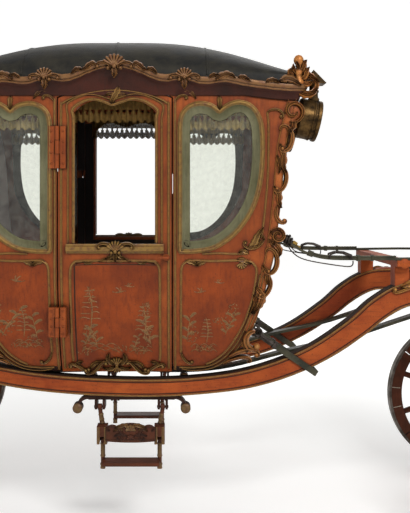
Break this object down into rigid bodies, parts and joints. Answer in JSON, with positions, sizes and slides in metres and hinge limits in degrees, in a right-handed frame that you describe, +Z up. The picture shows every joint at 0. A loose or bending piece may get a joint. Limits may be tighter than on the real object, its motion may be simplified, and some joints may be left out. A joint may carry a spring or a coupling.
{
  "type": "display model of a closed gala berline carriage",
  "caption": "Large display model of a gilt and red closed town coach on crane-neck perches, with turning fore carriage, opening doors and hanging steps.",
  "frame": {"origin": "on the floor under the middle of the whole length, pole included", "axes": "+X to the pole's tip, +Y to the coach's left, +Z up"},
  "size_m": [2.225, 0.503, 0.836],
  "materials": {
    "red_lacquer": "old red lacquer over wood, satin",
    "gilt_wood": "worn gilding over carved wood",
    "painted_wood": "dark red paint with gilt lines",
    "roof_leather": "black leather, semi-gloss",
    "leather": "dark brown strap leather",
    "brass": "aged brass",
    "iron": "wrought iron, blackened",
    "silk": "grey-green silk damask",
    "wood": "plain joinery",
    "glass": "old glass, dusty"
  },
  "bodies": {
    "coach": {"body_floor": "red_lacquer", "side_wall_left": "red_lacquer", "side_wall_right": "red_lacquer", "front_wall": "red_lacquer", "rear_wall": "red_lacquer", "window_glass": "glass", "panel_mouldings": "gilt_wood", "corner_carvings": "gilt_wood", "cornice": "gilt_wood", "roof": "roof_leather", "roof_ornaments": "gilt_wood", "lamps": "brass", "body_hinges": "brass", "seat_boxes": "wood", "seat_cushions": "silk", "seat_backs": "silk", "perch_left": "painted_wood", "perch_right": "painted_wood", "rear_axle": "iron", "rear_bolster": "painted_wood", "front_bolster": "painted_wood", "upper_turning_plate": "iron", "front_crossbar": "painted_wood", "rear_crossbar": "painted_wood", "footmen_platform": "painted_wood", "main_braces": "leather", "brace_winches": "iron", "check_straps": "leather", "body_irons": "iron", "step_brackets": "gilt_wood", "box_seat": "painted_wood", "box_cushion": "silk", "footboard": "painted_wood", "footboard_irons": "iron"},
    "fore_carriage": {"front_axle": "iron", "front_axle_bed": "painted_wood", "futchells": "painted_wood", "fore_bolster": "painted_wood", "kingpin": "iron", "lower_turning_plate": "iron", "splinter_bar": "painted_wood", "pole": "painted_wood"},
    "front_wheel_left_body": {"front_wheel_left": "painted_wood", "front_tyre_left": "iron"},
    "front_wheel_right_body": {"front_wheel_right": "painted_wood", "front_tyre_right": "iron"},
    "rear_wheel_left_body": {"rear_wheel_left": "painted_wood", "rear_tyre_left": "iron"},
    "rear_wheel_right_body": {"rear_wheel_right": "painted_wood", "rear_tyre_right": "iron"},
    "door_left_body": {"door_left": "red_lacquer", "door_moulding_left": "gilt_wood", "door_fittings_left": "brass"},
    "door_right_body": {"door_right": "red_lacquer", "door_moulding_right": "gilt_wood", "door_fittings_right": "brass"},
    "step_left_body": {"upper_step_left": "gilt_wood", "lower_step_left": "gilt_wood"},
    "step_right_body": {"upper_step_right": "gilt_wood", "lower_step_right": "gilt_wood"}
  },
  "joints": [
    {"name": "steer", "type": "hinge", "parent": "coach", "child": "fore_carriage", "pos_m": [0.2315, 0, 0.29], "axis": [0, 0, 1], "range_deg": [-60, 60]},
    {"name": "front_wheel_left_spin", "type": "hinge", "parent": "fore_carriage", "child": "front_wheel_left_body", "pos_m": [0.2315, 0.204, 0.152], "axis": [0, 1, 0], "continuous": true},
    {"name": "front_wheel_right_spin", "type": "hinge", "parent": "fore_carriage", "child": "front_wheel_right_body", "pos_m": [0.2315, -0.204, 0.152], "axis": [0, 1, 0], "continuous": true},
    {"name": "rear_wheel_left_spin", "type": "hinge", "parent": "coach", "child": "rear_wheel_left_body", "pos_m": [-0.9125, 0.204, 0.2], "axis": [0, 1, 0], "continuous": true},
    {"name": "rear_wheel_right_spin", "type": "hinge", "parent": "coach", "child": "rear_wheel_right_body", "pos_m": [-0.9125, -0.204, 0.2], "axis": [0, 1, 0], "continuous": true},
    {"name": "door_left_open", "type": "hinge", "parent": "coach", "child": "door_left_body", "pos_m": [-0.5515, 0.189, 0.48], "axis": [0, 0, 1], "range_deg": [0, 100]},
    {"name": "door_right_open", "type": "hinge", "parent": "coach", "child": "door_right_body", "pos_m": [-0.5515, -0.189, 0.48], "axis": [0, 0, -1], "range_deg": [0, 100]},
    {"name": "step_left_swing", "type": "hinge", "parent": "coach", "child": "step_left_body", "pos_m": [-0.4355, 0.14, 0.208], "axis": [1, 0, 0], "range_deg": [0, 60]},
    {"name": "step_right_swing", "type": "hinge", "parent": "coach", "child": "step_right_body", "pos_m": [-0.4355, -0.14, 0.208], "axis": [-1, 0, 0], "range_deg": [0, 60]}
  ]
}
